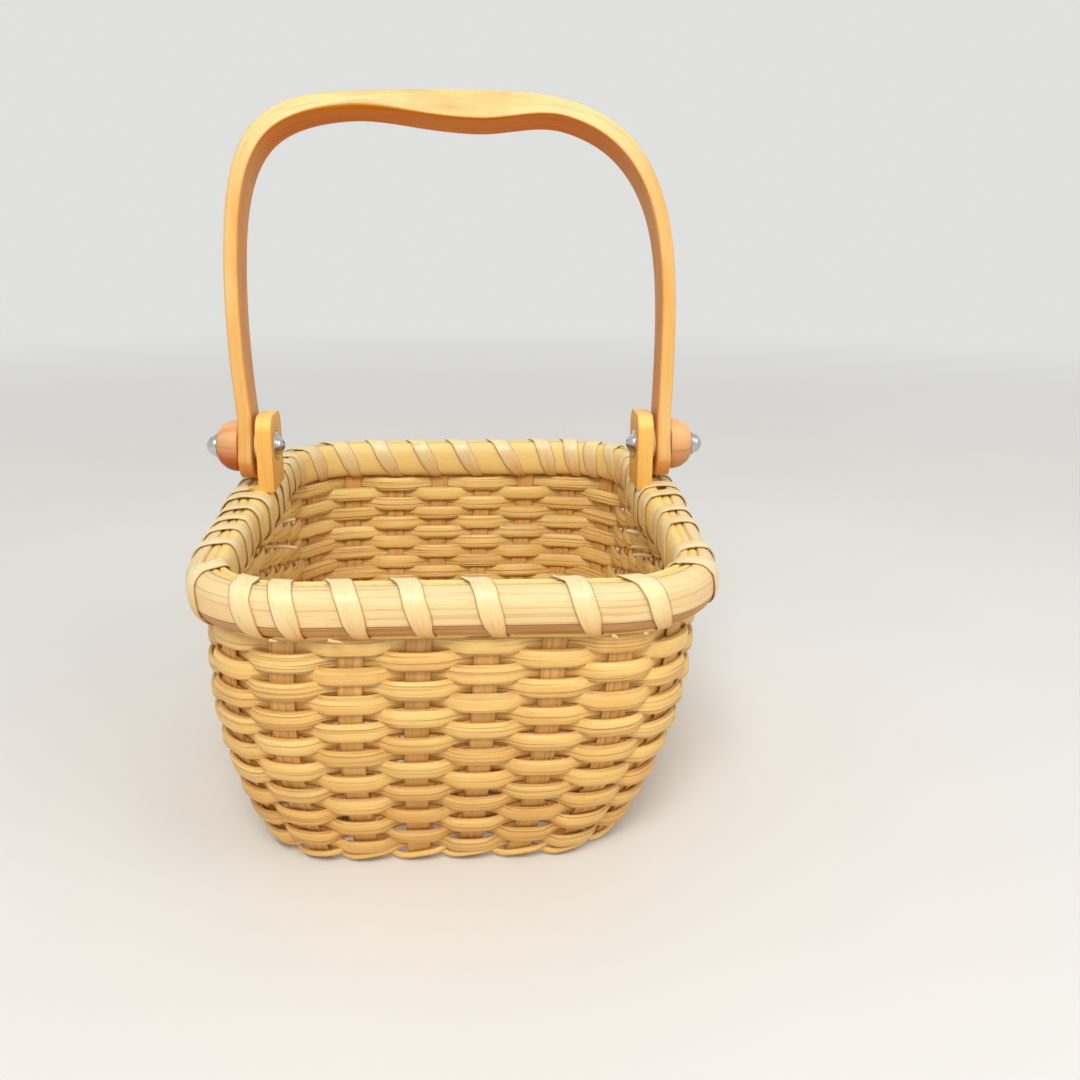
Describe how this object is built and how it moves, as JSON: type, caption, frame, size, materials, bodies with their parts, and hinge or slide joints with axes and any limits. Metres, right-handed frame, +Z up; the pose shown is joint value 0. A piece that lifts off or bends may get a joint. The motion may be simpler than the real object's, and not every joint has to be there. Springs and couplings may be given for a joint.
{
  "type": "woven swing-handle basket",
  "caption": "Small rectangular basket woven of flat reed, with a lashed rim and a bentwood handle that swings on two wooden ears to carry it.",
  "frame": {"origin": "On the table under the middle of the basket, at the height of the undersides of the base stakes.", "axes": "+Z up. X runs across the basket from ear to ear, the way the pivot line of the handle runs. Y runs along the basket, front at -Y. The handle leans back towards +Y."},
  "size_m": [0.1522, 0.1808, 0.205],
  "materials": {
    "stake_splint": "matt split wood with open fibres",
    "weaver_reed": "satin flat-oval reed, pale straw to honey",
    "rim_strip": "matt half-round reed with long fibres",
    "filler_cord": "matt twisted grass cord",
    "lashing_cane": "glossy flat cane",
    "ear_wood": "satin varnished hardwood",
    "handle_wood": "satin varnished bentwood",
    "bead_wood": "polished turned hardwood",
    "spacer_wood": "plain pale wood",
    "hardware_steel": "bright zinc plate"
  },
  "bodies": {
    "basket": {"stake_long_1": "stake_splint", "stake_long_2": "stake_splint", "stake_long_3": "stake_splint", "stake_long_4": "stake_splint", "stake_long_5": "stake_splint", "stake_long_6": "stake_splint", "stake_long_7": "stake_splint", "stake_long_8": "stake_splint", "stake_cross_1": "stake_splint", "stake_cross_2": "stake_splint", "stake_cross_3": "stake_splint", "stake_cross_4": "stake_splint", "stake_cross_5": "stake_splint", "stake_cross_6": "stake_splint", "stake_cross_7": "stake_splint", "stake_cross_8": "stake_splint", "weaver_row_01": "weaver_reed", "weaver_row_02": "weaver_reed", "weaver_row_03": "weaver_reed", "weaver_row_04": "weaver_reed", "weaver_row_05": "weaver_reed", "weaver_row_06": "weaver_reed", "weaver_row_07": "weaver_reed", "weaver_row_08": "weaver_reed", "weaver_row_09": "weaver_reed", "weaver_row_10": "weaver_reed", "weaver_row_11": "weaver_reed", "weaver_row_12": "weaver_reed", "weaver_row_13": "weaver_reed", "weaver_row_14": "weaver_reed", "weaver_row_15": "weaver_reed", "weaver_row_16": "weaver_reed", "weaver_row_17": "weaver_reed", "foot_strand_lower": "weaver_reed", "foot_strand_upper": "weaver_reed", "rim_outer": "rim_strip", "rim_inner": "rim_strip", "rim_row_front": "weaver_reed", "rim_row_back": "weaver_reed", "rim_filler_front": "filler_cord", "rim_filler_back": "filler_cord", "lashing_front": "lashing_cane", "lashing_back": "lashing_cane", "lashing_tuck_left": "lashing_cane", "lashing_tuck_right": "lashing_cane", "ear_left": "ear_wood", "bolt_left": "hardware_steel", "bolt_washer_left": "hardware_steel", "spacer_washer_left": "spacer_wood", "bead_left": "bead_wood", "cap_nut_left": "hardware_steel", "ear_right": "ear_wood", "bolt_right": "hardware_steel", "bolt_washer_right": "hardware_steel", "spacer_washer_right": "spacer_wood", "bead_right": "bead_wood", "cap_nut_right": "hardware_steel"},
    "handle": {"handle": "handle_wood"}
  },
  "joints": [
    {"name": "handle_swing", "type": "hinge", "parent": "basket", "child": "handle", "pos_m": [0, 0, 0.101], "axis": [1, 0, 0], "range_deg": [-78, 110]}
  ]
}
